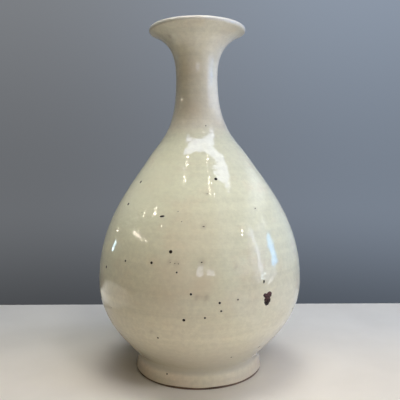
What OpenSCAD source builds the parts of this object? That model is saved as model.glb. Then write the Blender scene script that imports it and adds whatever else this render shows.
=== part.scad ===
// Pear-shaped bottle vase with a flared mouth, of white-glazed stoneware.
// It is thrown in three sections on a turned foot ring, luted with slip and glazed inside and out.
// The axis is +Z, and the foot stands on z = 0.

/* [Heights] */
// Foot ring, from the table up to the crease under the body
foot_h = 15; // [11:0.5:20]
// Rise from the crease to the widest part of the belly
belly_rise = 65.5; // [50:0.5:82]
// Rise from the belly to the base of the neck
shoulder_rise = 107.5; // [84:0.5:135]
// Rise from the base of the neck to its narrowest part
neck_rise = 69.5; // [54:0.5:88]
// Rise from the narrowest part of the neck to the top of the rim
mouth_rise = 42.5; // [33:0.5:54]

/* [Diameters] */
// Glazed crease between foot and body
crease_d = 108; // [88:1:128]
// Widest part of the belly
belly_d = 179; // [150:1:215]
// Base of the neck, where the neck is luted on
neck_base_d = 88; // [70:1:108]
// Narrowest part of the neck
neck_d = 36.6; // [29:0.2:46]
// Outside of the rim
mouth_d = 84; // [67:1:104]
// Spread of the foot at the table beyond the crease, on each side
foot_flare = 3; // [0:0.5:6]

/* [Walls] */
// Wall beside the crease, glaze included
low_wall = 9; // [7:0.2:11]
// Wall at the belly, glaze included
belly_wall = 5.8; // [4.4:0.2:7.4]
// Wall at the base of the neck, glaze included
neck_base_wall = 5.4; // [4.2:0.2:6.8]
// Wall at the narrowest part of the neck, glaze included
neck_wall = 4.8; // [3.8:0.2:6]
// Thickness of the rounded rim, glaze included
lip_t = 4.8; // [3.8:0.2:6]
// Clay of the floor inside the foot ring
floor_t = 8; // [6.4:0.2:10]
// Rise of the glazed floor above the crease
floor_rise = 3; // [2:0.2:4]
// Length of the sweep from the wall into the flat of the floor
floor_sweep = 18; // [12:1:24]
// Clay of the foot ring under the body
foot_wall = 6; // [4.8:0.2:7.6]
// Bevel on the edges of the foot rim
foot_bevel = 0.8; // [0.4:0.1:1.2]

/* [Curve] */
// Slope of the body where it leaves the crease, above level
crease_angle = 46; // [38:1:56]
// Lean of the neck base towards the axis, from upright
neck_base_lean = 34; // [28:1:40]
// Slope of the flare under the rim, above level
lip_angle = 22.5; // [16:0.5:30]
// Pull of the curve out of the crease
crease_pull = 0.3; // [0.2:0.01:0.4]
// Pull of the curve below the belly
belly_low_pull = 0.41; // [0.32:0.01:0.5]
// Pull of the curve above the belly
belly_high_pull = 0.44; // [0.35:0.01:0.55]
// Pull of the curve on both sides of the neck base
neck_base_pull = 0.27; // [0.2:0.01:0.36]
// Pull of the curve below the narrowest part of the neck
neck_low_pull = 0.62; // [0.5:0.01:0.7]
// Pull of the curve above the narrowest part of the neck
neck_high_pull = 0.43; // [0.34:0.01:0.52]
// Pull of the curve into the flare
lip_pull = 0.42; // [0.33:0.01:0.5]

/* [Slip and glaze] */
// Layer of slip in each luted joint
slip_t = 1; // [0.6:0.1:1.4]
// Rise of the slanted joints from outside to inside
joint_bevel = 2; // [1:0.2:3]
// Coat of glaze
glaze_t = 0.6; // [0.4:0.05:0.8]
// Reach of the glaze that pools in the crease, up and down
pool_reach = 4; // [2.5:0.5:5.5]
// Bare clay above the table, where the glaze was wiped off the foot
bare_h = 2; // [1.4:0.1:3]

/* [Hidden] */
$fn = 120;

clay = "#cbb9a0";
bare_clay = "#86664a";
slip = "#b9a58c";
glaze = "#dcdac8";

// Steps along each stretch of a curve, and round the rim
span_steps = 18;
rim_steps = 16;
floor_steps = 8;
pool_steps = 6;

// Heights of the five places that shape the outline
crease_z = foot_h;
belly_z = crease_z + belly_rise;
neck_base_z = belly_z + shoulder_rise;
neck_z = neck_base_z + neck_rise;
rim_z = neck_z + mouth_rise;

// Rim: a half round of the lip's thickness, whose centre lies inside the flare
rim_r = lip_t / 2;
rim_centre = [mouth_d / 2 - rim_r, rim_z - rim_r];
rim_start = lip_angle - 90;
flare_end = rim_centre + rim_r * [cos(rim_start), sin(rim_start)];

// The places as radius and height, with the direction of the curve and the total wall at each
places = [[crease_d / 2, crease_z], [belly_d / 2, belly_z], [neck_base_d / 2, neck_base_z],
          [neck_d / 2, neck_z], flare_end];
upright = [0, 1];
headings = [[cos(crease_angle), sin(crease_angle)], upright,
            [-sin(neck_base_lean), cos(neck_base_lean)], upright,
            [cos(lip_angle), sin(lip_angle)]];
walls = [low_wall, belly_wall, neck_base_wall, neck_wall, lip_t];

// Pulls out of each place and into the next one
pulls = [[crease_pull, belly_low_pull], [belly_high_pull, neck_base_pull],
         [neck_base_pull, neck_low_pull], [neck_high_pull, lip_pull]];
span_count = len(pulls);

// Four control points of one span between two places
function span(i) =
    let (a = places[i], b = places[i + 1], reach = norm(b - a))
    [a, a + headings[i] * pulls[i][0] * reach, b - headings[i + 1] * pulls[i][1] * reach, b];

spans = [for (i = [0:span_count - 1]) span(i)];

function cubic(p, t) =
    let (s = 1 - t)
    p[0] * s * s * s + p[1] * 3 * s * s * t + p[2] * 3 * s * t * t + p[3] * t * t * t;

function cubic_speed(p, t) =
    let (s = 1 - t)
    (p[1] - p[0]) * 3 * s * s + (p[2] - p[1]) * 6 * s * t + (p[3] - p[2]) * 3 * t * t;

function quadratic(a, b, c, t) = a * (1 - t) * (1 - t) + b * 2 * t * (1 - t) + c * t * t;

// The outline runs from u = 0 at the crease, through one place at each whole u, to the flare's end
function span_of(u) = min(floor(u), span_count - 1);

function outline(u) = cubic(spans[span_of(u)], u - span_of(u));

function inward(u) =
    let (v = cubic_speed(spans[span_of(u)], u - span_of(u)))
    [-v[1], v[0]] / norm(v);

// Total wall at u, which changes smoothly from place to place
function wall(u) =
    let (i = span_of(u), t = u - i)
    walls[i] + (walls[i + 1] - walls[i]) * t * t * (3 - 2 * t);

// The four surfaces of the wall, from outside to inside
function glaze_outside(u) = outline(u);
function clay_outside(u) = outline(u) + inward(u) * glaze_t;
function clay_inside(u) = outline(u) + inward(u) * (wall(u) - glaze_t);
function glaze_inside(u) = outline(u) + inward(u) * wall(u);

// Value of u at a distance along the outline from place k, up or down
function u_from(k, distance) =
    distance < 0
        ? k + distance / norm(cubic_speed(spans[k - 1], 1))
        : k + distance / norm(cubic_speed(spans[k], 0));

function steps(from, to, count) = [for (i = [0:count]) from + (to - from) * i / count];

function reversed(list) = [for (i = [len(list) - 1:-1:0]) list[i]];

// Edges of a slanted joint at place k: below and above its slip, on the outside or the inside
function joint_low(k, rise) = u_from(k, rise - slip_t / 2);
function joint_high(k, rise) = u_from(k, rise + slip_t / 2);

belly_joint = 1;
neck_joint = 2;
section_ends = [[0, belly_joint], [belly_joint, neck_joint], [neck_joint, span_count]];

// Values of u along one thrown section, whose own joints close it below and above
function section(i, rise) =
    let (low = section_ends[i][0], high = section_ends[i][1])
    steps(low == 0 ? 0 : joint_high(low, rise),
          high == span_count ? span_count : joint_low(high, rise),
          span_steps * (high - low));

section_count = len(section_ends);
all_outside = [for (i = [0:section_count - 1]) each section(i, 0)];
all_inside = [for (i = [0:section_count - 1]) each section(i, joint_bevel)];

// Half round of the rim, from under the flare over the top to the inside
function rim_arc(r) =
    [for (a = steps(rim_start, rim_start + 180, rim_steps)) rim_centre + r * [cos(a), sin(a)]];

// Sweep from the wall's foot to the flat floor at height z, then to the axis
function floor_curve(start, z) =
    let (fall = (start[1] - z) / tan(crease_angle), corner = [start[0] - fall, z])
    concat([for (t = steps(0, 1, floor_steps)) quadratic(start, corner, corner - [floor_sweep, 0], t)],
           [[0, z]]);

floor_z = crease_z + floor_rise;
clay_floor_z = floor_z - glaze_t;
well_z = clay_floor_z - floor_t;

// The body sits on the foot ring, with a boss inside it and slip between
seat = clay_outside(0);
ring_top = seat - [0, slip_t];
bore_r = crease_d / 2 - foot_wall;
boss_r = bore_r - slip_t;

// Outside of the foot ring's clay and of its glaze at a height above the table
function foot_r(z) = ring_top[0] + foot_flare * (ring_top[1] - z) / ring_top[1];
function foot_glaze_r(z) = (crease_d / 2) + foot_flare * (crease_z - z) / crease_z;

// Glaze over the foot and round the crease, where it pools
pool_low = [foot_glaze_r(crease_z - pool_reach), crease_z - pool_reach];
pool_high_u = u_from(0, pool_reach);
pool_curve = [for (t = steps(0, 1, pool_steps))
    quadratic(pool_low, places[0], outline(pool_high_u), t)];

module turned(points) {
    rotate_extrude() polygon(points);
}

// A thrown wall between two joints
module thrown(i) {
    turned(concat([for (u = section(i, 0)) clay_outside(u)],
                  [for (u = reversed(section(i, joint_bevel))) clay_inside(u)]));
}

// Slip between two thrown sections
module luting(k) {
    turned([clay_outside(joint_low(k, 0)), clay_outside(joint_high(k, 0)),
            clay_inside(joint_high(k, joint_bevel)), clay_inside(joint_low(k, joint_bevel))]);
}

// Turned ring that the vase stands on, with a bare rim
module foot_ring() {
    color(bare_clay)
        turned([ring_top, [foot_r(foot_bevel), foot_bevel], [foot_r(0) - foot_bevel, 0],
                [bore_r + foot_bevel, 0], [bore_r, foot_bevel], [bore_r, ring_top[1]]]);
}

// Slip on top of the foot ring and round the boss of the body
module foot_slip() {
    color(slip)
        turned([ring_top, seat, [boss_r, seat[1]], [boss_r, well_z], [bore_r, well_z],
                [bore_r, ring_top[1]]]);
}

// Bowl of the lower body, with its floor and the boss under it
module lower_body() {
    color(clay)
        turned(concat([for (u = section(0, 0)) clay_outside(u)],
                      [for (u = reversed(section(0, joint_bevel))) clay_inside(u)],
                      floor_curve(clay_inside(0), clay_floor_z),
                      [[0, well_z], [boss_r, well_z], [boss_r, seat[1]]]));
}

module belly_slip() {
    color(slip) luting(belly_joint);
}

// Shoulder, from the belly to the base of the neck
module upper_body() {
    color(clay) thrown(1);
}

module neck_slip() {
    color(slip) luting(neck_joint);
}

// Neck with its flared mouth and rounded lip
module neck() {
    color(clay)
        turned(concat([for (u = section(2, 0)) clay_outside(u)],
                      rim_arc(rim_r - glaze_t),
                      [for (u = reversed(section(2, joint_bevel))) clay_inside(u)]));
}

// Coat from the bare foot over the body and the rim
module outer_glaze() {
    color(glaze)
        turned(concat([[foot_glaze_r(bare_h), bare_h]],
                      pool_curve,
                      [for (u = steps(pool_high_u, span_count, span_steps * span_count)) glaze_outside(u)],
                      rim_arc(rim_r),
                      reversed(rim_arc(rim_r - glaze_t)),
                      [for (u = reversed(all_outside)) clay_outside(u)],
                      [ring_top, [foot_r(bare_h), bare_h]]));
}

// Coat from the rim down the inside to the floor
module inner_glaze() {
    color(glaze)
        turned(concat([for (u = all_inside) clay_inside(u)],
                      [for (u = reversed(steps(0, span_count, span_steps * span_count))) glaze_inside(u)],
                      floor_curve(glaze_inside(0), floor_z),
                      reversed(floor_curve(clay_inside(0), clay_floor_z))));
}

// Coat in the hollow under the foot
module foot_well_glaze() {
    color(glaze)
        turned([[0, well_z], [bore_r, well_z], [bore_r, bare_h], [bore_r - glaze_t, bare_h],
                [bore_r - glaze_t, well_z - glaze_t], [0, well_z - glaze_t]]);
}

foot_ring();
lower_body();
upper_body();
neck();
foot_slip();
belly_slip();
neck_slip();
outer_glaze();
inner_glaze();
foot_well_glaze();
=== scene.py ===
import math
import random

import bmesh
import bpy
from mathutils import Matrix, Vector, noise
from mathutils.bvhtree import BVHTree


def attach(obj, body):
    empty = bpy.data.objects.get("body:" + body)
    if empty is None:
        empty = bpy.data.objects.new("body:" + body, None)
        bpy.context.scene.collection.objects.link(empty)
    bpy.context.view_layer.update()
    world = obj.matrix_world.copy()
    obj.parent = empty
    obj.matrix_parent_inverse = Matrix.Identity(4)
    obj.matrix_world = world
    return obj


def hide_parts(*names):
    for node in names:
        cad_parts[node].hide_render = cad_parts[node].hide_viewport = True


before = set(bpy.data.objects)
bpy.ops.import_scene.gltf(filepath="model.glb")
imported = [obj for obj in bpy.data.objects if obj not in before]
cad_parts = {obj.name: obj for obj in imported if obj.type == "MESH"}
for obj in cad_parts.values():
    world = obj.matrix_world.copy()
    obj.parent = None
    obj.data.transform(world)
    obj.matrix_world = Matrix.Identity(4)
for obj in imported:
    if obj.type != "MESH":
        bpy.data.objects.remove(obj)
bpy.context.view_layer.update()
scene = bpy.context.scene
mm = 0.001
mergeReach = 0.002 * mm
print("frame loaded:", len(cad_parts), "solids")

# Outline of the vase, in millimetres and degrees, as the solids were turned
vaseForm = {
    "footH": 15, "bellyRise": 65.5, "shoulderRise": 107.5, "neckRise": 69.5, "mouthRise": 42.5,
    "creaseD": 108, "bellyD": 179, "neckBaseD": 88, "neckD": 36.6, "mouthD": 84, "footFlare": 3,
    "creaseAngle": 46, "neckBaseLean": 34, "lipAngle": 22.5,
    "creasePull": 0.3, "bellyLowPull": 0.41, "bellyHighPull": 0.44, "neckBasePull": 0.27,
    "neckLowPull": 0.62, "neckHighPull": 0.43, "lipPull": 0.42,
    "lowWall": 9, "bellyWall": 5.8, "neckBaseWall": 5.4, "neckWall": 4.8, "lipT": 4.8,
    "floorT": 8, "floorRise": 3, "floorSweep": 18, "footWall": 6, "footRound": 0.8,
    "slipT": 1, "jointRise": 2, "glazeT": 0.6, "poolReach": 4, "bareH": 2,
}


def heading(degrees):
    return Vector((math.cos(math.radians(degrees)), math.sin(math.radians(degrees))))


def arc(centre, radius, start, sweep, count):
    return [centre + heading(start + sweep * i / count) * radius for i in range(count + 1)]


def ease(low, high, t):  # smooth step from low to high
    return low + (high - low) * t * t * (3 - 2 * t)


glazeT = vaseForm["glazeT"]
creaseZ = vaseForm["footH"]
bellyZ = creaseZ + vaseForm["bellyRise"]
neckBaseZ = bellyZ + vaseForm["shoulderRise"]
neckZ = neckBaseZ + vaseForm["neckRise"]
rimZ = neckZ + vaseForm["mouthRise"]
rimR = vaseForm["lipT"] / 2
rimCentre = Vector((vaseForm["mouthD"] / 2 - rimR, rimZ - rimR))
rimStart = vaseForm["lipAngle"] - 90

# Five places that shape the outline: radius and height, the way the curve runs there, and the wall
places = [
    Vector((vaseForm["creaseD"] / 2, creaseZ)),
    Vector((vaseForm["bellyD"] / 2, bellyZ)),
    Vector((vaseForm["neckBaseD"] / 2, neckBaseZ)),
    Vector((vaseForm["neckD"] / 2, neckZ)),
    rimCentre + heading(rimStart) * rimR,
]
headings = [
    heading(vaseForm["creaseAngle"]),
    heading(90),
    heading(90 + vaseForm["neckBaseLean"]),
    heading(90),
    heading(vaseForm["lipAngle"]),
]
walls = [vaseForm[key] for key in ("lowWall", "bellyWall", "neckBaseWall", "neckWall", "lipT")]
pulls = [
    (vaseForm["creasePull"], vaseForm["bellyLowPull"]),
    (vaseForm["bellyHighPull"], vaseForm["neckBasePull"]),
    (vaseForm["neckBasePull"], vaseForm["neckLowPull"]),
    (vaseForm["neckHighPull"], vaseForm["lipPull"]),
]
spanCount = len(pulls)


def spanHandles(i):
    low, high = places[i], places[i + 1]
    reach = (high - low).length
    return (low, low + headings[i] * (pulls[i][0] * reach),
            high - headings[i + 1] * (pulls[i][1] * reach), high)


spans = [spanHandles(i) for i in range(spanCount)]


def spanAt(u):
    i = min(int(u), spanCount - 1)
    return i, u - i


def outline(u):  # u is 0 at the crease and a whole number at each place above it
    i, t = spanAt(u)
    s = 1 - t
    a, b, c, d = spans[i]
    return a * s**3 + b * (3 * s * s * t) + c * (3 * s * t * t) + d * t**3


def outlineSpeed(u):
    i, t = spanAt(u)
    s = 1 - t
    a, b, c, d = spans[i]
    return (b - a) * (3 * s * s) + (c - b) * (6 * s * t) + (d - c) * (3 * t * t)


def wallAt(u):
    i, t = spanAt(u)
    return ease(walls[i], walls[i + 1], t)


def within(u, depth):  # point at a depth below the glazed outside
    speed = outlineSpeed(u).normalized()
    return outline(u) + Vector((-speed.y, speed.x)) * depth


def clayOutside(u):
    return within(u, glazeT)


def clayInside(u):
    return within(u, wallAt(u) - glazeT)


def glazeInside(u):
    return within(u, wallAt(u))


def uBeside(place, distance):  # u at a distance along the outline from a place
    if distance < 0:
        return place + distance / (3 * (spans[place - 1][3] - spans[place - 1][2]).length)
    return place + distance / (3 * (spans[place][1] - spans[place][0]).length)


def stepsAlong(uLow, uHigh, spacing):
    knots = [uLow] + [k for k in range(spanCount) if uLow < k < uHigh] + [uHigh]
    values = [uLow]
    for a, b in zip(knots, knots[1:]):
        count = max(2, round((outline(b) - outline(a)).length / spacing))
        values += [a + (b - a) * (i + 1) / count for i in range(count)]
    return values


def bend(a, b, c, count):  # quadratic curve from a to c, pulled towards b
    steps = [i / count for i in range(count + 1)]
    return [a * (1 - t) ** 2 + b * (2 * t * (1 - t)) + c * t * t for t in steps]


def rimArc(radius, count):
    return arc(rimCentre, radius, rimStart, 180, count)


floorZ = creaseZ + vaseForm["floorRise"]
clayFloorZ = floorZ - glazeT
wellZ = clayFloorZ - vaseForm["floorT"]
seat = clayOutside(0)
ringTop = seat - Vector((0, vaseForm["slipT"]))
boreR = vaseForm["creaseD"] / 2 - vaseForm["footWall"]
bossR = boreR - vaseForm["slipT"]


def floorCurve(start, z, count):
    fall = (start.y - z) / math.tan(math.radians(vaseForm["creaseAngle"]))
    corner = Vector((start.x - fall, z))
    return bend(start, corner, corner - Vector((vaseForm["floorSweep"], 0)), count) + [Vector((0, z))]


def footClay(z):
    return Vector((ringTop.x + vaseForm["footFlare"] * (ringTop.y - z) / ringTop.y, z))


def footGlaze(z):
    return Vector((places[0].x + vaseForm["footFlare"] * (creaseZ - z) / creaseZ, z))


# What throwing by hand leaves: a centre line that drifts, a wall that isn't quite round, and rings
handWork = {
    "drift": ((0, -1.36), (15, -1.36), (80.5, 0), (169, 0), (257.5, -1.79), (300, -1.17)),  # height, lean
    "oval": 0.22, "ovalTurns": 0.9, "ovalPitch": 90, "ovalPlace": (3, 7),
    "ring": 0.07, "ringTurns": 0.5, "ringPitch": 5.5, "ringPlace": (11, 5),
    "fadeR": 30,
}


def driftAt(z):
    for (lowZ, lowX), (highZ, highX) in zip(handWork["drift"], handWork["drift"][1:]):
        if z <= highZ:
            return ease(lowX, highX, max(0, (z - lowZ) / (highZ - lowZ)))
    return handWork["drift"][-1][1]


def wander(kind, flat, z):  # how far the wall stands out, round the vase and up it
    place = Vector((*handWork[kind + "Place"], z / handWork[kind + "Pitch"]))
    return handWork[kind] * noise.noise(flat * handWork[kind + "Turns"] + place)


def handThrown(co):
    z = co.z / mm
    flat = Vector((co.x, co.y, 0))
    fade = min(1, flat.length / mm / handWork["fadeR"])
    flat.normalize()
    swell = fade * (wander("oval", flat, z) + wander("ring", flat, z))
    return co + (flat * swell + Vector((driftAt(z), 0, 0))) * mm


def turnedMesh(chain, turns):  # spins a chain of points, closed on itself unless it ends on the axis
    bm = bmesh.new()
    verts = [bm.verts.new((point.x * mm, 0, point.y * mm)) for point in chain]
    edges = [bm.edges.new(pair) for pair in zip(verts, verts[1:])]
    if chain[0].x > 0 or chain[-1].x > 0:
        edges.append(bm.edges.new((verts[-1], verts[0])))
    bmesh.ops.spin(bm, geom=verts + edges, cent=(0, 0, 0), axis=(0, 0, 1), angle=math.tau,
                   steps=turns, use_merge=True)
    bmesh.ops.remove_doubles(bm, verts=bm.verts, dist=mergeReach)
    for vert in bm.verts:
        vert.co = handThrown(vert.co)
    bmesh.ops.recalc_face_normals(bm, faces=bm.faces)
    return bm


def finishPiece(bm, name, material, sharpFrom=40):
    mesh = bpy.data.meshes.new(name)
    bm.to_mesh(mesh)
    bm.free()
    mesh.shade_smooth()
    mesh.set_sharp_from_angle(angle=math.radians(sharpFrom))
    mesh.materials.append(material)
    piece = bpy.data.objects.new(name, mesh)
    scene.collection.objects.link(piece)
    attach(piece, "root")
    print("made", name, "with", len(mesh.polygons), "faces")
    return piece


# Materials
mixFirst, mixSecond, mixResult = 6, 7, 2  # the colour sockets of a Mix node


class NodeKit:  # short ways to add nodes to a tree
    def __init__(self, tree):
        self.tree = tree

    def add(self, kind):
        return self.tree.nodes.new("ShaderNode" + kind)

    def feed(self, socket, value):
        if isinstance(value, bpy.types.NodeSocket):
            self.tree.links.new(value, socket)
        else:
            socket.default_value = value

    def spread(self, value, fromLow, fromHigh, toLow, toHigh):
        node = self.add("MapRange")
        node.interpolation_type = "SMOOTHSTEP"
        for name, setting in zip(("Value", "From Min", "From Max", "To Min", "To Max"),
                                 (value, fromLow, fromHigh, toLow, toHigh)):
            self.feed(node.inputs[name], setting)
        return node.outputs["Result"]

    def maths(self, operation, a, b):
        node = self.add("Math")
        node.operation = operation
        self.feed(node.inputs[0], a)
        self.feed(node.inputs[1], b)
        return node.outputs[0]

    def mix(self, amount, a, b, blend="MIX"):
        node = self.add("Mix")
        node.data_type = "RGBA"
        node.blend_type = blend
        self.feed(node.inputs["Factor"], amount)
        for socket, colour in ((mixFirst, a), (mixSecond, b)):
            self.feed(node.inputs[socket], (*colour, 1) if isinstance(colour, tuple) else colour)
        return node.outputs[mixResult]


class Shader(NodeKit):  # a Principled material on Object coordinates
    def __init__(self, name):
        self.material = bpy.data.materials.new(name)
        self.material.use_nodes = True
        super().__init__(self.material.node_tree)
        self.surface = self.tree.nodes["Principled BSDF"]
        self.place = self.add("TexCoord").outputs["Object"]

    def noise(self, scale, detail, rough, stretch=(1, 1, 1), shift=(0, 0, 0)):
        mapping = self.add("Mapping")
        self.feed(mapping.inputs["Vector"], self.place)
        self.feed(mapping.inputs["Scale"], stretch)
        self.feed(mapping.inputs["Location"], shift)
        node = self.add("TexNoise")
        self.feed(node.inputs["Vector"], mapping.outputs["Vector"])
        self.feed(node.inputs["Scale"], scale)
        self.feed(node.inputs["Detail"], detail)
        self.feed(node.inputs["Roughness"], rough)
        return node.outputs["Fac"]

    def along(self, axis):
        node = self.add("SeparateXYZ")
        self.feed(node.inputs["Vector"], self.place)
        return node.outputs[axis]

    def attribute(self, name):
        node = self.add("Attribute")
        node.attribute_name = name
        return node.outputs["Fac"]

    def ramp(self, value, *stops):
        node = self.add("ValToRGB")
        node.color_ramp.interpolation = "EASE"
        for element, (position, colour) in zip(node.color_ramp.elements, stops):
            element.position = position
            element.color = (*colour, 1)
        self.feed(node.inputs["Fac"], value)
        return node.outputs["Color"]

    def bump(self, height, distance, below=None):
        node = self.add("Bump")
        self.feed(node.inputs["Height"], height)
        self.feed(node.inputs["Distance"], distance)
        self.feed(node.inputs["Strength"], 1.0)
        if below is not None:
            self.feed(node.inputs["Normal"], below)
        return node.outputs["Normal"]

    def finish(self, colour, rough, normal):
        self.feed(self.surface.inputs["Base Color"], colour)
        self.feed(self.surface.inputs["Roughness"], rough)
        self.feed(self.surface.inputs["Normal"], normal)
        return self.material


noiseSpan = (0.3, 0.7)  # where most of a noise lies
mottleSpan = (0.3, 0.75)
glazeLook = {
    "rim": (0.86, 0.84, 0.77), "neck": (0.87, 0.815, 0.65), "shoulder": (0.79, 0.785, 0.59),
    "belly": (0.75, 0.695, 0.525), "foot": (0.715, 0.605, 0.455), "pooledAndShade": (0.49, 0.455, 0.36),
    "stain": (0.24, 0.15, 0.09), "blushAndReflection": (0.79, 0.655, 0.475), "paintedLight": (0.87, 0.865, 0.67),
    "shoulderFrom": (0.055, 0.125), "footFrom": (0.055, -0.01),  # heights where a tint begins and is full
    "neckFrom": (0.203, 0.219), "rimFrom": (0.2955, 0.2985), "drift": 0.03, "neckDrift": 0.006,
    "poolAndShadeAbove": (0.001, 0.042), "poolAndShadeBelow": (-0.006, -0.001), "poolAndShadeDepth": 0.72,  # heights from the crease of the darker pooled glaze and painted shade
    "clouds": dict(scale=9, detail=3, rough=0.55),
    "patches": dict(scale=34, detail=4, rough=0.6, stretch=(1, 1, 1.6), shift=(3, 1, 2)),
    "mottle": dict(scale=260, detail=4, rough=0.6),
    "grain": dict(scale=800, detail=2, rough=0.6),
    "bands": dict(scale=6, detail=3, rough=0.6, stretch=(1, 1, 40)),
    "ripples": dict(scale=120, detail=2, rough=0.5, stretch=(1, 1, 1.3)),
    "fineRipples": dict(scale=330, detail=2, rough=0.5),
    "patchDepth": (0.48, 0.72, 0, 0.3), "mottleTone": (0.94, 1.04), "grainTone": (0.98, 1.015),
    "bandTone": (0.962, 1.03), "roughness": (0.02, 0.05), "rippleDepth": 0.00022, "fineDepth": 0.00005,
}


def makeGlaze(name, stainsAndPaintedLight):
    look = glazeLook
    shader = Shader(name)
    height = shader.along("Z")
    clouds = shader.noise(**look["clouds"])

    def drifted(reach):  # a height that wanders with the clouds
        return shader.maths("ADD", height, shader.spread(clouds, *noiseSpan, -reach, reach))

    def tinted(z, below, tint):
        return shader.mix(shader.spread(z, *look[tint + "From"], 0, 1), below, look[tint])

    bodyHeight = drifted(look["drift"])
    colour = tinted(bodyHeight, look["belly"], "shoulder")
    # the foot tint darkens the lowest part of the body: partly the glaze's own warmer colour, partly painted
    # shade near the floor
    colour = tinted(bodyHeight, colour, "foot")
    colour = tinted(drifted(look["neckDrift"]), colour, "neck")
    # the rim tint is paler along the top of the lip: partly thin glaze there, partly a painted highlight
    colour = tinted(height, colour, "rim")
    patches = shader.noise(**look["patches"])
    colour = shader.mix(shader.spread(patches, *look["patchDepth"]), colour, look["blushAndReflection"])
    mottle = shader.noise(**look["mottle"])
    grain = shader.noise(**look["grain"])
    grey = shader.maths("MULTIPLY", shader.spread(mottle, *mottleSpan, *look["mottleTone"]),
                        shader.spread(grain, *noiseSpan, *look["grainTone"]))
    bands = shader.noise(**look["bands"])
    banded = shader.maths("MULTIPLY", grey, shader.spread(bands, *noiseSpan, *look["bandTone"]))
    colour = shader.mix(1.0, colour, banded, "MULTIPLY")
    # darker just above the crease: partly glaze pooled there, partly painted shade in the crease
    fromCrease = shader.maths("SUBTRACT", height, creaseZ * mm)
    poolingAndShade = shader.maths("MULTIPLY", shader.spread(fromCrease, *look["poolAndShadeAbove"], look["poolAndShadeDepth"], 0),
                           shader.spread(fromCrease, *look["poolAndShadeBelow"], 0, 1))
    colour = shader.mix(poolingAndShade, colour, look["pooledAndShade"])
    if stainsAndPaintedLight:
        # warm patches: partly the glaze's own blush, partly a painted warm reflection on the front of the
        # belly and on the neck
        colour = shader.mix(shader.attribute("blushAndReflection"), colour, look["blushAndReflection"])
        # paler patches painted on the left shoulder and belly, standing in for light from the upper left
        colour = shader.mix(shader.attribute("paintedLight"), colour, look["paintedLight"])
        colour = shader.mix(shader.attribute("ironStain"), colour, look["stain"])
    fine = shader.bump(shader.noise(**look["fineRipples"]), look["fineDepth"])
    normal = shader.bump(shader.noise(**look["ripples"]), look["rippleDepth"], fine)
    return shader.finish(colour, shader.spread(mottle, *mottleSpan, *look["roughness"]), normal)


clayLook = {
    "pale": (0.42, 0.33, 0.24), "dark": (0.30, 0.22, 0.15),
    "rimBurnt": (0.075, 0.042, 0.025), "rimBrown": (0.17, 0.10, 0.06), "rimWorn": (0.30, 0.20, 0.13),
    "slipPale": (0.36, 0.27, 0.19), "slipDark": (0.27, 0.20, 0.14),
    "patches": dict(scale=60, detail=4, rough=0.6), "darkTo": 0.36, "paleFrom": 0.64,
    "grit": dict(scale=420, detail=3, rough=0.7), "gritTone": (0.8, 1.1), "gritDepth": 0.00012,
    "roughness": (0.62, 0.88), "wornDepth": 0.8, "wornZ": 0.0012,
}


def makeClay(name, dark, pale, worn=None):
    look = clayLook
    shader = Shader(name)
    patches = shader.noise(**look["patches"])
    grit = shader.noise(**look["grit"])
    colour = shader.ramp(patches, (look["darkTo"], dark), (look["paleFrom"], pale))
    colour = shader.mix(1.0, colour, shader.spread(grit, *noiseSpan, *look["gritTone"]), "MULTIPLY")
    if worn:
        low = shader.spread(shader.along("Z"), 0, look["wornZ"], look["wornDepth"], 0)
        colour = shader.mix(shader.maths("MULTIPLY", low, patches), colour, worn)
    rough = shader.spread(grit, *noiseSpan, *look["roughness"])
    return shader.finish(colour, rough, shader.bump(grit, look["gritDepth"]))


ironLook = {
    "speckDark": (0.006, 0.005, 0.004), "speckRed": (0.026, 0.017, 0.012),
    "blotDark": (0.014, 0.009, 0.008), "blotRed": (0.11, 0.05, 0.045), "blacken": 0.85,
    "fine": dict(scale=700, detail=4, rough=0.65), "darkTo": 0.35, "redFrom": 0.62,
    "roughness": (0.22, 0.5), "fineDepth": 0.00012, "shine": 0.15,
}


def makeIron(name, dark, red, blackFrom=0.0, blackBelow=0.0):
    look = ironLook
    shader = Shader(name)
    fine = shader.noise(**look["fine"])
    colour = shader.ramp(fine, (look["darkTo"], dark), (look["redFrom"], red))
    if blackFrom:
        low = shader.spread(shader.along("Z"), blackBelow, blackFrom, look["blacken"], 0)
        colour = shader.mix(low, colour, dark)
    shader.feed(shader.surface.inputs["Specular IOR Level"], look["shine"])
    rough = shader.spread(fine, *noiseSpan, *look["roughness"])
    return shader.finish(colour, rough, shader.bump(fine, look["fineDepth"]))


glazeOutside = makeGlaze("glazeOutside", True)
glazeHidden = makeGlaze("glazeInside", False)
bareClay = makeClay("bareFootClay", clayLook["rimBurnt"], clayLook["rimBrown"], clayLook["rimWorn"])
wallClay = makeClay("wallClay", clayLook["dark"], clayLook["pale"])
lutingSlip = makeClay("lutingSlip", clayLook["slipDark"], clayLook["slipPale"])
print("materials made")

# Camera at the photograph's place; pixels are in its square frame
photoView = {
    "framePx": 400, "focalPx": 492.2, "shiftPx": -0.69, "sensor": 36,
    "away": 0.4410, "height": 0.1851, "pitch": 0.0800, "roll": -0.0043,
}


def makeCamera():
    data = bpy.data.cameras.new("photoCamera")
    data.sensor_width = photoView["sensor"]
    data.lens = photoView["focalPx"] * photoView["sensor"] / photoView["framePx"]
    data.shift_x = -photoView["shiftPx"] / photoView["framePx"]
    camera = bpy.data.objects.new("photoCamera", data)
    tilt = Matrix.Rotation(math.pi / 2 - photoView["pitch"], 4, "X")
    roll = Matrix.Rotation(photoView["roll"], 4, "Z")
    camera.matrix_world = Matrix.Translation((0, -photoView["away"], photoView["height"])) @ tilt @ roll
    scene.collection.objects.link(camera)
    scene.camera = camera
    return camera


camera = makeCamera()
cameraMatrix = camera.matrix_world.copy()
print("camera placed")


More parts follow.
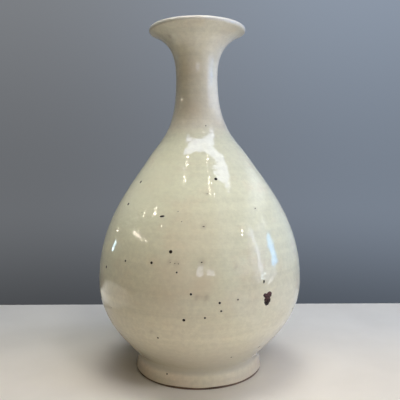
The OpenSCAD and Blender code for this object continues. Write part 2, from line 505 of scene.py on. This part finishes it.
def pixelRay(px, py):
    half = photoView["framePx"] / 2
    across = (px - half - photoView["shiftPx"]) / photoView["focalPx"]
    up = (half - py) / photoView["focalPx"]
    return cameraMatrix.to_3x3() @ Vector((across, up, -1)).normalized()


# Glaze on the outside, from the wiped foot over the body and the lip
outerCoat = {
    "spacing": 1.5, "hiddenSpacing": 6, "turns": 240, "edgeSteps": 6, "footSteps": 8, "poolSteps": 10,
    "rimSteps": 20, "wipeWave": 0.7, "wipeTurns": 2.2, "wipeFade": 5, "wipePlace": (2, 9, 4),
}


def outerChain():
    bareH = vaseForm["bareH"]
    reach = vaseForm["poolReach"]
    steps = outerCoat["footSteps"]
    edge = arc((footGlaze(bareH) + footClay(bareH)) / 2, glazeT / 2, -180, 180, outerCoat["edgeSteps"])
    footRise = [footGlaze(bareH + (creaseZ - reach - bareH) * i / steps) for i in range(1, steps)]
    pool = bend(footGlaze(creaseZ - reach), places[0], outline(uBeside(0, reach)), outerCoat["poolSteps"])
    body = [outline(u) for u in stepsAlong(uBeside(0, reach), spanCount, outerCoat["spacing"])]
    hidden = [clayOutside(u) for u in stepsAlong(0, spanCount, outerCoat["hiddenSpacing"])]
    return (edge + footRise + pool + body + rimArc(rimR, outerCoat["rimSteps"])
            + rimArc(rimR - glazeT, outerCoat["rimSteps"])[::-1] + hidden[::-1] + [ringTop])


def makeOuterCoat():
    bm = turnedMesh(outerChain(), outerCoat["turns"])
    place = Vector(outerCoat["wipePlace"])
    for vert in bm.verts:  # the wiped edge wanders up and down
        flat = Vector((vert.co.x, vert.co.y, 0)).normalized() * outerCoat["wipeTurns"]
        near = max(0, 1 - (vert.co.z / mm - vaseForm["bareH"] + glazeT) / outerCoat["wipeFade"])
        vert.co.z += outerCoat["wipeWave"] * noise.noise(flat + place) * min(1, near) * mm
    return bm


outerMesh = makeOuterCoat()
outerSurface = BVHTree.FromBMesh(outerMesh)


def onVase(px, py):  # where a pixel of the photograph meets the outside
    return outerSurface.ray_cast(cameraMatrix.translation, pixelRay(px, py))[:2]


# Iron stains that bloom under the glaze: pixel, spread in millimetres and depth of colour
ironStains = [
    dict(px=201.8, py=262.8, spread=2.6, depth=0.35),
    dict(px=197.3, py=297.6, spread=1.8, depth=0.36),
    dict(px=205.8, py=297.6, spread=2.2, depth=0.36),
    dict(px=169.5, py=262.0, spread=1.8, depth=0.26),
    dict(px=176.5, py=263.6, spread=2.2, depth=0.30),
    dict(px=238.0, py=299.7, spread=1.6, depth=0.20),
    dict(px=235.9, py=266.8, spread=1.6, depth=0.22),
    dict(px=255.3, py=208.3, spread=1.6, depth=0.18),
    dict(px=203.7, py=226.7, spread=1.8, depth=0.30),
    dict(px=207.0, py=193.7, spread=1.6, depth=0.28),
    dict(px=259.1, py=347.0, spread=1.8, depth=0.60),
    dict(px=151.5, py=331.6, spread=1.8, depth=0.26),
    dict(px=169.8, py=36.3, spread=1.8, depth=0.30),
]

# Warm patches, given in the same way: partly the glaze's own blush, partly a painted warm reflection
glazeBlushesAndReflections = [
    dict(px=201, py=284, spread=13, depth=0.55),
    dict(px=176, py=274, spread=18, depth=0.45),
    dict(px=166, py=293, spread=14, depth=0.35),
    dict(px=190, py=236, spread=26, depth=0.35),
    dict(px=222, py=300, spread=12, depth=0.25),
    dict(px=190, py=70, spread=10, depth=0.30),
    dict(px=192, py=108, spread=10, depth=0.40),
]
glazePaintedLight = [  # and paler patches, a painted light on the left shoulder and belly
    dict(px=158, py=175, spread=24, depth=0.6),
    dict(px=135, py=205, spread=28, depth=0.8),
    dict(px=115, py=240, spread=14, depth=0.5),
]
patchEnd = 2.5  # a patch ends at this many times its spread


def tintOuterCoat(bm, layerName, patches):
    layer = bm.verts.layers.float.new(layerName)
    for patch in patches:
        spot = onVase(patch["px"], patch["py"])[0]
        reach = patch["spread"] * mm
        for vert in bm.verts:
            distance = (vert.co - spot).length / reach
            if distance < patchEnd:
                vert[layer] = max(vert[layer], patch["depth"] * math.exp(-distance * distance))


tintOuterCoat(outerMesh, "ironStain", ironStains)
tintOuterCoat(outerMesh, "blushAndReflection", glazeBlushesAndReflections)
tintOuterCoat(outerMesh, "paintedLight", glazePaintedLight)
glazedOutside = finishPiece(outerMesh, "glazedOutside", glazeOutside)
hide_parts("outer_glaze")

# Glaze on the inside and in the foot well
innerCoat = {"spacing": 2.4, "hiddenSpacing": 6, "turns": 160, "floorSteps": 14}


def innerChain():
    count = innerCoat["floorSteps"]
    up = [clayInside(u) for u in stepsAlong(0, spanCount, innerCoat["hiddenSpacing"])]
    down = [glazeInside(u) for u in stepsAlong(0, spanCount, innerCoat["spacing"])[::-1]]
    return (floorCurve(clayInside(0), clayFloorZ, count)[::-1] + up + down
            + floorCurve(glazeInside(0), floorZ, count))


innerMesh = turnedMesh(innerChain(), innerCoat["turns"])
glazedInside = finishPiece(innerMesh, "glazedInside", glazeHidden)
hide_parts("inner_glaze")

wellCoat = {"turns": 128, "fillet": 3.5, "filletSteps": 8, "edgeSteps": 5}


def wellChain():
    bareH = vaseForm["bareH"]
    face = Vector((boreR - glazeT, wellZ - glazeT))
    fillet = wellCoat["fillet"]
    corner = bend(face - Vector((0, fillet)), face, face - Vector((fillet, 0)), wellCoat["filletSteps"])
    edge = arc(Vector((boreR - glazeT / 2, bareH)), glazeT / 2, 0, -180, wellCoat["edgeSteps"])
    return [Vector((0, wellZ)), Vector((boreR, wellZ))] + edge + corner + [Vector((0, face.y))]


wellMesh = turnedMesh(wellChain(), wellCoat["turns"])
glazedFootWell = finishPiece(wellMesh, "glazedFootWell", glazeHidden)
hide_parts("foot_well_glaze")

# Clay under the glaze: the foot ring, the thrown sections and the slip between them
claySections = {"spacing": 4, "turns": 128, "roundSteps": 5, "floorSteps": 10, "rimSteps": 12}
bellyJoint = 1
neckJoint = 2


def jointBelow(place, rise):
    return uBeside(place, rise - vaseForm["slipT"] / 2)


def jointAbove(place, rise):
    return uBeside(place, rise + vaseForm["slipT"] / 2)


def wallChain(low, high):  # points of the outside going up, and of the inside coming down
    rise = vaseForm["jointRise"]
    spacing = claySections["spacing"]
    outside = stepsAlong(jointAbove(low, 0) if low else 0,
                         jointBelow(high, 0) if high < spanCount else spanCount, spacing)
    inside = stepsAlong(jointAbove(low, rise) if low else 0,
                        jointBelow(high, rise) if high < spanCount else spanCount, spacing)
    return [clayOutside(u) for u in outside], [clayInside(u) for u in inside[::-1]]


def footRingChain():
    reach = vaseForm["footRound"]
    steps = claySections["roundSteps"]
    outer = footClay(0)
    outerRound = bend(footClay(reach), outer, outer - Vector((reach, 0)), steps)
    inner = Vector((boreR, 0))
    innerRound = bend(inner + Vector((reach, 0)), inner, inner + Vector((0, reach)), steps)
    return [ringTop] + outerRound + innerRound + [Vector((boreR, ringTop.y))]


def lowerChain():
    outside, inside = wallChain(0, bellyJoint)
    boss = [Vector((0, wellZ)), Vector((bossR, wellZ)), Vector((bossR, seat.y))]
    return boss + outside + inside + floorCurve(clayInside(0), clayFloorZ, claySections["floorSteps"])


def neckChain():
    outside, inside = wallChain(neckJoint, spanCount)
    return outside + rimArc(rimR - glazeT, claySections["rimSteps"]) + inside


def lutingChain(place):
    rise = vaseForm["jointRise"]
    return [clayOutside(jointBelow(place, 0)), clayOutside(jointAbove(place, 0)),
            clayInside(jointAbove(place, rise)), clayInside(jointBelow(place, rise))]


def upperChain():
    outside, inside = wallChain(bellyJoint, neckJoint)
    return outside + inside


footSlipChain = [ringTop, seat, Vector((bossR, seat.y)), Vector((bossR, wellZ)), Vector((boreR, wellZ)),
                 Vector((boreR, ringTop.y))]
clayPieces = [
    ("footRing", "foot_ring", "bare_foot", bareClay, footRingChain()),
    ("lowerBowl", "lower_body", "clay", wallClay, lowerChain()),
    ("shoulderWall", "upper_body", "clay", wallClay, upperChain()),
    ("neckWall", "neck", "clay", wallClay, neckChain()),
    ("footSlip", "foot_slip", "slip", lutingSlip, footSlipChain),
    ("bellySlip", "belly_slip", "slip", lutingSlip, lutingChain(bellyJoint)),
    ("neckSlip", "neck_slip", "slip", lutingSlip, lutingChain(neckJoint)),
]
for name, node, slotName, material, chain in clayPieces:
    piece = finishPiece(turnedMesh(chain, claySections["turns"]), name, material)
    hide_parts(node)

# Iron specks that came through the glaze: pixel, size across in millimetres, stretch and turn
ironSpecks = [
    dict(px=215.8, py=179.0, size=1.85),
    dict(px=162.1, py=216.3, size=1.25, stretch=2.4, turn=8),
    dict(px=170.7, py=251.8, size=1.9),
    dict(px=151.5, py=262.8, size=1.5),
    dict(px=190.9, py=294.3, size=1.3),
    dict(px=183.8, py=320.2, size=1.6),
    dict(px=219.7, py=303.0, size=1.3),
    dict(px=221.2, py=311.2, size=1.1),
    dict(px=204.9, py=318.0, size=1.1),
    dict(px=264.0, py=281.6, size=1.25, stretch=1.6, turn=80),
    dict(px=140.8, py=181.9, size=1.8),
    dict(px=128.3, py=204.0, size=1.7),
    dict(px=176.7, py=272.5, size=1.0),
    dict(px=125.4, py=260.9, size=1.25),
    dict(px=106.4, py=266.8, size=1.7),
    dict(px=292.5, py=308.6, size=1.5),
    dict(px=205.8, py=125.7, size=0.8),
    dict(px=178.1, py=211.5, size=0.5),
    dict(px=181.7, py=221.6, size=0.5),
    dict(px=141.9, py=212.3, size=0.5),
    dict(px=157.9, py=337.9, size=1.1),
    dict(px=231.4, py=357.2, size=1.1),
    dict(px=167.0, py=373.9, size=1.0),
    dict(px=111.3, py=307.7, size=0.6),
    dict(px=119.5, py=332.6, size=0.7),
    dict(px=178.4, py=263.8, size=0.5),
    dict(px=255.3, py=208.3, size=0.8),
    dict(px=238.0, py=299.7, size=0.9),
    dict(px=259.1, py=346.8, size=1.0, stretch=1.6, turn=20),
    dict(px=207.2, py=193.8, size=0.5),
    dict(px=201.6, py=262.4, size=0.6, stretch=1.6, turn=5),
    dict(px=170.2, py=262.6, size=0.45),
    dict(px=174.8, py=263.4, size=0.5),
    dict(px=203.6, py=226.6, size=0.5, stretch=2.4, turn=5),
]
speckMake = {
    "grow": 1.42, "rise": 0.09, "segments": 10, "rings": 6,
    "behind": 34, "seed": 7, "reachOut": 0.3, "fromAngle": -5, "toAngle": 185, "lowZ": 24, "highZ": 285,
    "smallest": 0.4, "largest": 1.5, "longest": 1.5,
}


def addSpeck(bm, spot, normal, size, stretch=1.0, turn=0.0):
    turned = normal.to_track_quat("Z", "Y").to_matrix().to_4x4() @ Matrix.Rotation(math.radians(turn), 4, "Z")
    across = size * speckMake["grow"] / 2 * mm
    scale = Matrix.Diagonal((across * stretch, across, speckMake["rise"] * mm, 1))
    bmesh.ops.create_uvsphere(bm, u_segments=speckMake["segments"], v_segments=speckMake["rings"], radius=1,
                              matrix=Matrix.Translation(spot) @ turned @ scale)


def makeSpecks():
    bm = bmesh.new()
    for speck in ironSpecks:
        spot, normal = onVase(speck["px"], speck["py"])
        addSpeck(bm, spot, normal, speck["size"], speck.get("stretch", 1), speck.get("turn", 0))
    chance = random.Random(speckMake["seed"])
    for i in range(speckMake["behind"]):  # the sides that the photograph doesn't show have as many
        angle = math.radians(chance.uniform(speckMake["fromAngle"], speckMake["toAngle"]))
        z = chance.uniform(speckMake["lowZ"], speckMake["highZ"]) * mm
        size = chance.triangular(speckMake["smallest"], speckMake["largest"], speckMake["smallest"])
        away = Vector((math.cos(angle), math.sin(angle), 0)) * speckMake["reachOut"]
        spot, normal = outerSurface.ray_cast(away + Vector((0, 0, z)), -away.normalized())[:2]
        addSpeck(bm, spot, normal, size, chance.uniform(1, speckMake["longest"]), chance.uniform(0, 180))
    return bm


ironBlack = makeIron("ironBlack", ironLook["speckDark"], ironLook["speckRed"])
finishPiece(makeSpecks(), "ironSpecks", ironBlack)

# Large iron blot on the right: pixels of its edge, going round
blotEdge = [
    dict(px=262.9, py=295.0), dict(px=264.4, py=293.2), dict(px=266.8, py=293.2), dict(px=268.4, py=291.6),
    dict(px=270.2, py=290.9), dict(px=271.8, py=292.3), dict(px=271.7, py=295.2), dict(px=270.0, py=297.4),
    dict(px=270.7, py=299.3), dict(px=269.4, py=302.6), dict(px=267.9, py=305.2), dict(px=265.7, py=306.0),
    dict(px=264.4, py=303.8), dict(px=264.2, py=300.9), dict(px=264.9, py=297.9), dict(px=263.5, py=296.5),
]
ironBlot = {
    "centrePx": 267.4, "centrePy": 298.0, "blackPy": 303.0, "segments": 64,
    "rings": (0.05, 0.1, 0.15, 0.2, 0.2, 0.15),  # how far in each ring lies from the last
    "rise": 0.3, "sink": 0.08, "ragged": 0.12, "grain": 1.1, "grainFade": 4, "sharpFrom": 180,
}


def blotReach(angle):
    polar = []
    for corner in blotEdge:
        away = Vector((corner["px"] - ironBlot["centrePx"], corner["py"] - ironBlot["centrePy"]))
        polar.append((math.atan2(away.y, away.x) % math.tau, away.length))
    polar.sort()
    polar = [(polar[-1][0] - math.tau, polar[-1][1])] + polar + [(polar[0][0] + math.tau, polar[0][1])]
    for (lowA, lowR), (highA, highR) in zip(polar, polar[1:]):
        if lowA <= angle <= highA:
            return ease(lowR, highR, (angle - lowA) / (highA - lowA))
    return polar[0][1]


def blotMiddle(bm):
    return [face for face in bm.faces if len(face.verts) == ironBlot["segments"]]


def makeBlot():
    bm = bmesh.new()
    bmesh.ops.create_circle(bm, cap_ends=True, segments=ironBlot["segments"], radius=1)
    for ring in ironBlot["rings"]:
        bmesh.ops.inset_region(bm, faces=blotMiddle(bm), thickness=ring, use_boundary=True,
                               use_even_offset=True)
    bmesh.ops.poke(bm, faces=blotMiddle(bm))
    for vert in bm.verts:
        out = min(1, math.hypot(vert.co.x, vert.co.y))
        angle = math.atan2(vert.co.y, vert.co.x) % math.tau
        reach = blotReach(angle) * out
        spot, normal = onVase(ironBlot["centrePx"] + math.cos(angle) * reach,
                              ironBlot["centrePy"] + math.sin(angle) * reach)
        dome = ironBlot["rise"] * math.sqrt(1 - out * out) - ironBlot["sink"]
        fade = 1 - out ** ironBlot["grainFade"]
        grain = ironBlot["ragged"] * noise.noise(spot / mm * ironBlot["grain"]) * fade
        vert.co = spot + normal * (dome + grain) * mm
    bmesh.ops.recalc_face_normals(bm, faces=bm.faces)
    return bm


blotTop = onVase(ironBlot["centrePx"], ironBlot["centrePy"])[0].z
blotFoot = onVase(ironBlot["centrePx"], ironBlot["blackPy"])[0].z
ironRed = makeIron("ironRed", ironLook["blotDark"], ironLook["blotRed"], blotTop, blotFoot)
finishPiece(makeBlot(), "ironBlot", ironRed, ironBlot["sharpFrom"])
print("iron specks and blot set on the glaze")

# Plain floor whose far edge lies behind the vase
floorBoard = {
    "left": -0.50, "right": 0.70, "front": -0.46, "back": 0.188, "thick": 0.03,
    "corner": 0.40, "round": 0.006, "roundSteps": 4,
    # near and far: a painted warm light at the front of the floor, cooler towards the back
    "near": (0.78, 0.735, 0.665), "far": (0.69, 0.70, 0.705), "fromY": (-0.06, 0.13),
    "clouds": dict(scale=14, detail=3, rough=0.5), "cloudTone": (0.97, 1.03),
    "grain": dict(scale=900, detail=2, rough=0.5), "grainDepth": 0.0001, "roughness": 0.9,
}


def makeFloor():
    board = floorBoard
    bm = bmesh.new()
    low = Vector((board["left"], board["front"], -board["thick"]))
    high = Vector((board["right"], board["back"], 0))
    size = Matrix.Diagonal((*(high - low), 1))
    bmesh.ops.create_cube(bm, size=1, matrix=Matrix.Translation((low + high) / 2) @ size)
    frontCorners = [edge for edge in bm.edges
                    if all(vert.co.y < 0 for vert in edge.verts) and edge.verts[0].co.x == edge.verts[1].co.x]
    bmesh.ops.bevel(bm, geom=frontCorners, offset=board["corner"], affect="EDGES", segments=1, profile=0.5,
                    material=-1)
    rims = [edge for edge in bm.edges if edge.verts[0].co.z == edge.verts[1].co.z]
    bmesh.ops.bevel(bm, geom=rims, offset=board["round"], affect="EDGES", segments=board["roundSteps"],
                    profile=0.5, material=-1)
    mesh = bpy.data.meshes.new("floorBoard")
    bm.to_mesh(mesh)
    bm.free()
    shader = Shader("paleFloor")
    clouds = shader.noise(**board["clouds"])
    grain = shader.noise(**board["grain"])
    # warmer and lighter near the front, cooler further back: a painted warm light falling on the front of the
    # floor
    pale = shader.mix(shader.spread(shader.along("Y"), *board["fromY"], 0, 1), board["near"], board["far"])
    colour = shader.mix(1.0, pale, shader.spread(clouds, *noiseSpan, *board["cloudTone"]), "MULTIPLY")
    mesh.materials.append(shader.finish(colour, board["roughness"], shader.bump(grain, board["grainDepth"])))
    floor = bpy.data.objects.new("floorBoard", mesh)
    scene.collection.objects.link(floor)
    return floor


def lightGroup(name, floor, state):  # what some lights fall on: the floor alone, or all but the floor
    group = bpy.data.collections.new(name)
    group.objects.link(floor)
    group.collection_objects[0].light_linking.link_state = state
    return group


floor = makeFloor()
lightGroups = {
    "floor": lightGroup("floorAlone", floor, "INCLUDE"),
    "vase": lightGroup("vaseAlone", floor, "EXCLUDE"),
}

# Panels of soft light, some of them faded from the middle to the edges
panelMiddle = (0.5, 0.5, 0)
panelFade = (0.5, 0.05, 0, 1)  # from a panel's edge to its middle
lightKinds = {
    "panel": {"soft": False, "fill": True, "shine": True},
    "fill": {"soft": True, "fill": True, "shine": False},  # leaves no glint
    "hardFill": {"soft": False, "fill": True, "shine": False},
    "shine": {"soft": False, "fill": False, "shine": True},  # only shows in the glaze
    "softShine": {"soft": True, "fill": False, "shine": True},
}


def softenEdges(data):
    data.use_nodes = True
    kit = NodeKit(data.node_tree)
    away = kit.add("VectorMath")
    away.operation = "DISTANCE"
    kit.feed(away.inputs[0], kit.add("NewGeometry").outputs["Parametric"])
    kit.feed(away.inputs[1], panelMiddle)
    kit.feed(kit.tree.nodes["Emission"].inputs["Strength"], kit.spread(away.outputs["Value"], *panelFade))


def makeLight(name, kind, at, wide, tall, glow, tint, aim=None, along=None, only=None):
    use = lightKinds[kind]
    data = bpy.data.lights.new(name, "AREA")
    data.shape = "RECTANGLE"
    data.size = wide
    data.size_y = tall
    data.energy = glow * math.pi * wide * tall
    data.color = tint
    if use["soft"]:
        softenEdges(data)
    lamp = bpy.data.objects.new(name, data)
    lamp.location = at
    if along:  # the way that its width runs
        back = (Vector(at) - Vector(aim)).normalized()
        side = (along - back * along.dot(back)).normalized()
        lamp.rotation_euler = Matrix((side, back.cross(side), back)).transposed().to_euler()
    elif aim:  # a panel without one shines straight down
        lamp.rotation_euler = (Vector(aim) - Vector(at)).to_track_quat("-Z", "Y").to_euler()
    lamp.visible_camera = False
    lamp.visible_glossy = use["shine"]
    lamp.visible_diffuse = use["fill"]
    if only:
        lamp.light_linking.receiver_collection = lightGroups[only]
    scene.collection.objects.link(lamp)


studioLights = {  # in this order, because some of them lie in one plane
    "overhead": dict(kind="panel", at=(0.43, -0.18, 1.10),
                     wide=0.48, tall=0.23, glow=6.6, tint=(0.72, 0.77, 1.0)),
    "overheadLeft": dict(kind="panel", at=(-0.09, -0.21, 1.10),
                         wide=0.56, tall=0.13, glow=7.2, tint=(0.72, 0.77, 1.0)),
    "overheadFill": dict(kind="fill", at=(0.0, -0.20, 1.12),
                         wide=1.0, tall=0.4, glow=8.3, tint=(1.0, 0.95, 0.78)),
    "highFill": dict(kind="fill", at=(0.0, 0.10, 1.50),
                     wide=0.9, tall=0.9, glow=4.9, tint=(1.0, 0.98, 0.86)),
    "frontFill": dict(kind="fill", at=(0.40, -1.45, 0.65), aim=(0, 0, 0.15),
                      wide=1.4, tall=1.0, glow=3.25, tint=(1.0, 0.87, 0.62)),
    "rightFill": dict(kind="fill", at=(1.10, -1.10, 0.55), aim=(0, 0, 0.15),
                      wide=1.2, tall=1.0, glow=3.15, tint=(0.82, 0.84, 1.0)),
    "neckGlow": dict(kind="softShine", at=(0.28, 0.06, 0.32), aim=(0, 0.06, 0.32),
                     wide=0.66, tall=0.15, glow=1.8, tint=(0.80, 0.88, 1.0)),
    "neckFill": dict(kind="fill", at=(0.50, -0.21, 0.28), aim=(0, 0, 0.25),
                     wide=0.3, tall=0.2, glow=10.4, tint=(0.66, 0.76, 1.0)),
    "sidePanel": dict(kind="shine", at=(1.10, -0.36, 0.35), aim=(0.05, -0.36, 0.35),
                      wide=0.66, tall=0.70, glow=1.6, tint=(0.60, 0.70, 1.0)),
    "sideFill": dict(kind="hardFill", at=(1.10, -0.36, 0.35), aim=(0.05, -0.36, 0.35),
                     wide=0.66, tall=0.70, glow=6.2, tint=(0.46, 0.60, 1.0)),
    "sideEdge": dict(kind="shine", at=(1.08, -0.03, 0.31), aim=(0.05, -0.03, 0.31),
                     wide=0.18, tall=0.36, glow=7, tint=(0.02, 0.45, 1.0)),
    "sideLow": dict(kind="shine", at=(1.08, -0.42, 0.06), aim=(0.05, -0.42, 0.06),
                    wide=0.20, tall=0.09, glow=6, tint=(0.65, 0.85, 1.0)),
    "sideFoot": dict(kind="shine", at=(1.08, -0.22, -0.02), aim=(0.05, -0.22, -0.02),
                     wide=0.14, tall=0.05, glow=4, tint=(0.85, 0.90, 1.0)),
    "sidePost": dict(kind="shine", at=(1.08, -0.45, 0.40), aim=(0.05, -0.45, 0.40),
                     wide=0.11, tall=0.66, glow=3.8, tint=(0.65, 0.75, 1.0)),
    "sideStreak": dict(kind="shine", at=(1.08, -0.47, 0.73), aim=(0.05, -0.47, 0.73),
                       wide=0.10, tall=0.12, glow=6, tint=(0.60, 0.70, 1.0)),
    "sideHead": dict(kind="shine", at=(1.08, 0.05, 0.63), aim=(0.05, 0.05, 0.63),
                     wide=0.16, tall=0.16, glow=2.5, tint=(0.90, 0.95, 1.0)),
    "highFillLeft": dict(kind="fill", at=(-0.30, 0.05, 1.35), aim=(-0.1, 0, 0.15),
                         wide=0.5, tall=0.9, glow=9.0, tint=(1.0, 0.97, 0.82), only="vase"),
    "leftBounce": dict(kind="shine", at=(-0.35, 0.05, 0.004), aim=(-0.35, 0.05, 1.0),
                       wide=0.32, tall=0.30, glow=0.7, tint=(1.0, 0.97, 0.85)),
    "rightLow": dict(kind="fill", at=(0.55, -0.25, 0.06), aim=(0, 0, 0.02),
                     wide=0.4, tall=0.1, glow=6.4, tint=(0.56, 0.68, 1.0), only="vase"),
    "leftLow": dict(kind="fill", at=(-0.80, -0.05, 0.10), aim=(0, 0, 0.07),
                    wide=0.6, tall=0.16, glow=1.5, tint=(1.0, 0.97, 0.85), only="vase"),
    "backFillLeft": dict(kind="fill", at=(-0.75, 1.30, 0.42), aim=(0, 0, 0.15),
                         wide=1.2, tall=0.8, glow=1.4, tint=(1.0, 0.98, 0.94), only="vase"),
    "floorFront": dict(kind="fill", at=(0.45, -0.68, 1.03), aim=(0, 0, 0),
                       wide=0.4, tall=0.4, glow=20, tint=(1.0, 0.95, 0.86), only="floor"),
    "backFillRight": dict(kind="fill", at=(0.75, 1.30, 0.42), aim=(0, 0, 0.15),
                          wide=1.2, tall=0.8, glow=3, tint=(1.0, 0.98, 0.94)),
    "sideTop": dict(kind="shine", at=(1.10, 0.05, 0.52), aim=(0, 0.05, 0.52),
                    wide=1.5, tall=0.3, glow=0.15, tint=(0.80, 0.88, 1.0)),
    "rightGlow": dict(kind="shine", at=(1.10, 0.80, 0.28), aim=(0, 0.40, 0.20),
                      wide=1.2, tall=0.6, glow=0.34, tint=(0.55, 0.78, 1.0)),
    "leftGlow": dict(kind="shine", at=(-1.10, 0.60, 0.95), aim=(0, 0.20, 0.25),
                     wide=1.4, tall=0.9, glow=0.12, tint=(0.90, 1.0, 0.95)),
    "sideFront": dict(kind="shine", at=(0.97, -0.87, 0.30), aim=(0, 0, 0.11),
                      wide=0.55, tall=0.25, glow=1.2, tint=(0.85, 0.94, 1.0)),
    "frontGlint": dict(kind="shine", at=(0.00, -1.30, 0.28), aim=(0, 0, 0.11),
                       wide=0.16, tall=0.16, glow=4.6, tint=(0.78, 0.83, 1.0)),
    "frontGlintRight": dict(kind="shine", at=(0.25, -1.30, 0.26), aim=(0, 0, 0.11),
                            wide=0.20, tall=0.14, glow=3.6, tint=(0.78, 0.83, 1.0)),
    "leftGlint": dict(kind="shine", at=(-0.95, 0.42, 0.20), aim=(-0.06, -0.05, 0.11),
                      wide=0.05, tall=0.10, glow=12, tint=(0.60, 0.85, 1.0)),
    "overheadBack": dict(kind="shine", at=(-0.15, 0.42, 1.10),
                         wide=0.6, tall=0.16, glow=9, tint=(1.0, 0.99, 0.97)),
}
for name, light in studioLights.items():
    makeLight(name, **light)

# Small far lamps, each by the two pixels that its glint runs between
glints = [
    dict(px=133.6, py=232.2, toPx=147.0, toPy=242.2, glow=190, across=0.005),
    dict(px=145.4, py=211.4, toPx=144.8, toPy=216.4),
    dict(px=155.0, py=210.6, toPx=152.6, toPy=218.8),
    dict(px=157.2, py=209.4, toPx=156.0, toPy=213.4),
    dict(px=162.3, py=222.0, toPx=161.8, toPy=226.6, glow=90),
    dict(px=136.8, py=217.6, toPx=136.4, toPy=219.4, glow=70),
    dict(px=132.0, py=222.0, toPx=131.6, toPy=223.8, glow=70),
    dict(px=118.4, py=228.2, toPx=118.4, toPy=231.6, glow=45),
    dict(px=118.4, py=243.4, toPx=117.6, toPy=247.0, glow=40),
    dict(px=240.8, py=228.6, toPx=243.4, toPy=235.4, glow=350),
    dict(px=204.2, py=226.0, toPx=203.8, toPy=228.6, glow=90),
    dict(px=207.3, py=230.6, toPx=207.3, toPy=232.6, glow=90),
    dict(px=212.6, py=219.8, toPx=212.8, toPy=221.8, glow=90),
    dict(px=209.2, py=178.0, toPx=209.6, toPy=192.4),
    dict(px=187.6, py=157.0, toPx=187.4, toPy=164.6),
    dict(px=204.6, py=127.0, toPx=204.6, toPy=129.0, glow=90),
]
farLamp = {"away": 2.5, "across": 0.014, "glow": 110, "tint": (1.0, 0.92, 0.76)}


def mirroredFrom(px, py, away):  # where a lamp stands whose glint is at a pixel, and the spot of the glint
    spot, normal = onVase(px, py)
    ray = pixelRay(px, py)
    return spot + (ray - normal * (2 * ray.dot(normal))) * away, spot


def makeFarLamps():
    for i, glint in enumerate(glints):
        start, startSpot = mirroredFrom(glint["px"], glint["py"], farLamp["away"])
        end, endSpot = mirroredFrom(glint["toPx"], glint["toPy"], farLamp["away"])
        makeLight(f"farLamp{i}", kind="shine", at=(start + end) / 2, aim=(startSpot + endSpot) / 2,
                  along=end - start, wide=(end - start).length, tall=glint.get("across", farLamp["across"]),
                  glow=glint.get("glow", farLamp["glow"]), tint=farLamp["tint"])


makeFarLamps()

# Grey surround that the camera and the glaze see, with little light of its own
surround = {
    "left": (0.150, 0.158, 0.170), "right": (0.200, 0.235, 0.290), "sideways": 0.38,
    "lowShade": (-0.32, -0.08, 0.4, 0.95), "highGlow": (-0.05, 0.5, 1.0, 1.6),
    "frontShade": (-0.5, 0.3, 0.3, 1.0), "ambient": (0.02, 0.019, 0.017),
}


def makeSurround():
    world = bpy.data.worlds.new("studioSurround")
    world.use_nodes = True
    kit = NodeKit(world.node_tree)
    ambient = kit.tree.nodes["Background"]
    kit.feed(ambient.inputs["Color"], (*surround["ambient"], 1))
    way = kit.add("SeparateXYZ")
    kit.feed(way.inputs["Vector"], kit.add("TexCoord").outputs["Generated"])
    across = kit.spread(way.outputs["X"], -surround["sideways"], surround["sideways"], 0, 1)
    backdrop = kit.add("Background")
    kit.feed(backdrop.inputs["Color"], kit.mix(across, surround["left"], surround["right"]))
    upright = kit.maths("MULTIPLY", kit.spread(way.outputs["Z"], *surround["lowShade"]),
                        kit.spread(way.outputs["Z"], *surround["highGlow"]))
    shade = kit.maths("MULTIPLY", upright, kit.spread(way.outputs["Y"], *surround["frontShade"]))
    kit.feed(backdrop.inputs["Strength"], shade)
    path = kit.add("LightPath").outputs
    seen = kit.maths("MAXIMUM", path["Is Camera Ray"], path["Is Glossy Ray"])
    seen = kit.maths("MAXIMUM", seen, path["Is Transmission Ray"])
    choice = kit.add("MixShader")
    kit.feed(choice.inputs["Fac"], seen)
    kit.feed(choice.inputs[1], ambient.outputs[0])
    kit.feed(choice.inputs[2], backdrop.outputs[0])
    kit.feed(kit.tree.nodes["World Output"].inputs["Surface"], choice.outputs[0])
    scene.world = world


makeSurround()
scene.view_settings.view_transform = "Standard"
print("floor, lights and surround made")
